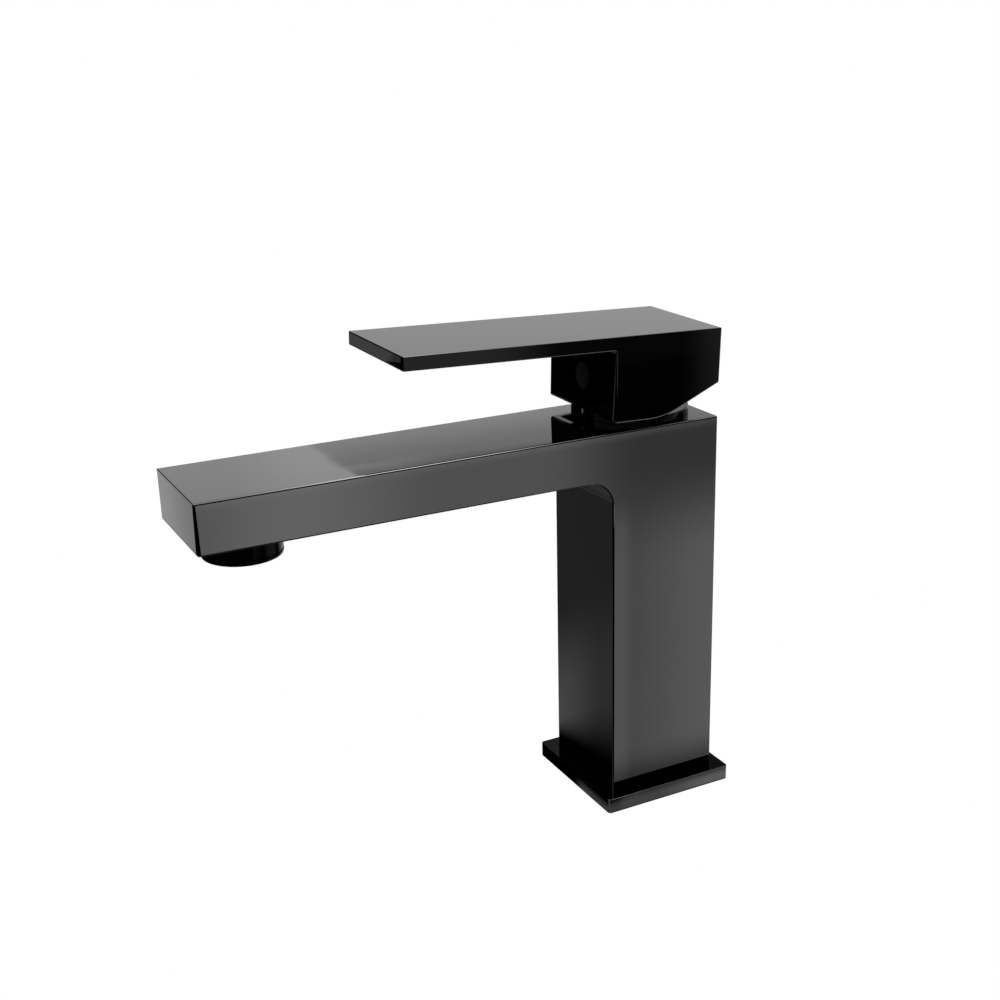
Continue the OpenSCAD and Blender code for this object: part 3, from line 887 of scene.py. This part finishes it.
comb_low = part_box("aerator_mesh")[0].z / mm
comb_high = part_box("aerator_mesh")[1].z / mm
comb_radius = bore_radius - 0.1
comb_view = [(0, comb_low), (comb_radius, comb_low), (comb_radius, comb_high), (0, comb_high)]
honeycomb = lathe("aerator_honeycomb", comb_view, [0, 0.1, 0.1, 0], columns=72)
combine(honeycomb, [cells("cell_cut", 2.1, 0.32, 8.0, comb_low - 1, comb_high + 1)])
honeycomb.data.transform(Matrix.Translation((0, outlet_y * mm, 0)))
place_piece(honeycomb, "body", "aerator_plastic", grey_plastic, "aerator_mesh")

# %% [markdown]
# ## The fixing kit under the worktop
# Below the worktop, a threaded stud pulls a horseshoe plate and a rubber gasket upwards with a
# brass nut. A thread is a radius that depends on height and angle together: the height in pitches,
# less the angle in turns, gives the place across one ridge. The nut is a six-sided radius cut off
# by a cone at each end, with the same thread inside.

# %% Threads
thread_pitch = 1.25
thread_depth = 0.6
rows_a_pitch = 8


def ridge(z, angle):
    """0 at a thread's root and 1 at its crest, at that height and angle."""
    place = (z / thread_pitch - angle / (2 * np.pi)) % 1.0
    return np.clip(1.25 * (1 - np.abs(2 * place - 1)) - 0.1, 0, 1)


def threaded_rod(name, radius, low, high, centre, columns=28):
    """A rod with a thread. At both ends a bevel cuts the radius down to below the root."""
    z = np.linspace(low, high, int((high - low) / thread_pitch * rows_a_pitch) + 1)[:, None]
    angle = np.linspace(0, 2 * np.pi, columns, endpoint=False)[None, :]
    bevel = radius - 2 * thread_depth + np.minimum(z - low, high - z)
    size = np.minimum(radius - thread_depth + thread_depth * ridge(z, angle), bevel)
    grid = np.stack([centre[0] + size * np.cos(angle), centre[1] + size * np.sin(angle),
                     z + 0 * angle], axis=-1)
    return surface(name, grid)


def hex_nut(name, across, bore, low, high, centre, columns=96):
    """A nut: the outside is the smaller of a hexagon and a cone, the inside is a thread."""
    angle = np.linspace(0, 2 * np.pi, columns, endpoint=False)
    hexagon = across / 2 / np.cos((angle % (np.pi / 3)) - np.pi / 6)
    corner = across / math.sqrt(3)
    cone = np.linspace(across * 0.47, corner, 6)
    rise = (cone - cone[0]) * math.tan(math.pi / 6)
    limits = np.concatenate([cone, cone[::-1]])[:, None]
    heights = np.concatenate([low + rise, high - rise[::-1]])[:, None]
    outside = np.minimum(hexagon, limits)
    inner_z = np.linspace(high, low, int((high - low) / thread_pitch * rows_a_pitch) + 1)[:, None]
    lead = 0.7
    lead_in = np.clip(lead - np.minimum(inner_z - low, high - inner_z), 0, lead)
    inside = bore - 0.55 * ridge(inner_z, angle) * (1 - lead_in / lead) + lead_in * 0.6
    size = np.vstack([outside, inside])
    level = np.vstack([heights, inner_z]) + 0 * angle
    grid = np.stack([centre[0] + size * np.cos(angle), centre[1] + size * np.sin(angle), level], -1)
    return surface(name, grid, wrap_rows=True)


stud_low, stud_high = (v.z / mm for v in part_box("fixing_stud"))
stud = threaded_rod("threaded_stud", 4.0, stud_low, stud_high, stud_centre)
place_piece(stud, "body", "steel_zinc", zinc, "fixing_stud", corner=50)
nut_low, nut_high = (v.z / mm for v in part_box("fixing_nut"))
nut = hex_nut("hex_nut", 13, 4.05, nut_low, nut_high, stud_centre)
place_piece(nut, "body", "brass_bare", brass, "fixing_nut", corner=28)

# %% Horseshoe plate and gasket
rubber = moulded("black_rubber", (0.018, 0.018, 0.019), 0.55, 0.75, 0.0003, 0.00001)


def horseshoe(name, radius, low, high, rim):
    """A disc with a wide slot that opens to the back for the hoses, and a hole for the stud."""
    disc = [(0, low), (radius, low), (radius, high), (0, high)]
    made = lathe(name, disc, [0, rim, rim, 0], columns=128)
    half, front, past_rim = 14, -6, 40
    slot_view = [(-half, front), (half, front), (half, past_rim), (-half, past_rim)]
    slot = slab("slot_cut", slot_view, [half - 0.02, half - 0.02, 1, 1], low - 1, high + 1, 0.05,
                axis=2, steps=20)
    return combine(made, [slot, rod("stud_cut", 4.3, low - 1, high + 1, stud_centre, 48)])


gasket_low, gasket_high = (v.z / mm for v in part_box("fixing_gasket"))
gasket = horseshoe("horseshoe_gasket", 25, gasket_low, gasket_high, 0.3)
place_piece(gasket, "body", "rubber_black", rubber, "fixing_gasket")
plate_low, plate_high = (v.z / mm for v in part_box("fixing_plate"))
plate = horseshoe("horseshoe_plate", 24.5, plate_low, plate_high, 0.5)
place_piece(plate, "body", "steel_zinc", zinc, "fixing_plate")

# %% [markdown]
# ## The pieces inside
# The seals, the cartridge and its ceramic discs already have their right shapes in the mechanical
# model, so they keep their meshes and only get finishes. They show when the lever is tipped or the
# mixer is taken apart. Polished ceramic is dense and pale with tiny specks, and the cartridge is
# nylon, a warm white that is slightly mottled.

# %% Finishes for the inner pieces
nylon = moulded("ivory_nylon", (0.70, 0.66, 0.56), 0.38, 0.52, 0.0006, 0.000003)
ceramic = moulded("white_ceramic", (0.80, 0.78, 0.72), 0.08, 0.16, 0.0002, 0.0000004)
blue_plastic = moulded("blue_grey_plastic", (0.16, 0.22, 0.30), 0.4, 0.55, 0.0005, 0.000003)
strainer_grey = moulded("grey_strainer", (0.28, 0.29, 0.30), 0.4, 0.55, 0.0005, 0.000003)
finishes = {"rubber_black": rubber, "brass_bare": brass, "steel_zinc": zinc, "nylon_ivory": nylon,
            "ceramic_white": ceramic, "driver_blue": blue_plastic, "aerator_plastic": grey_plastic,
            "strainer_grey": strainer_grey}
for part in frame["record"]["subparts"]:
    kept = nodes[part["node"]]
    if not kept.hide_render:
        kept.data.materials.clear()
        kept.data.materials.append(finishes[part["material_slot"]])
        print(part["node"], "gets", part["material_slot"])
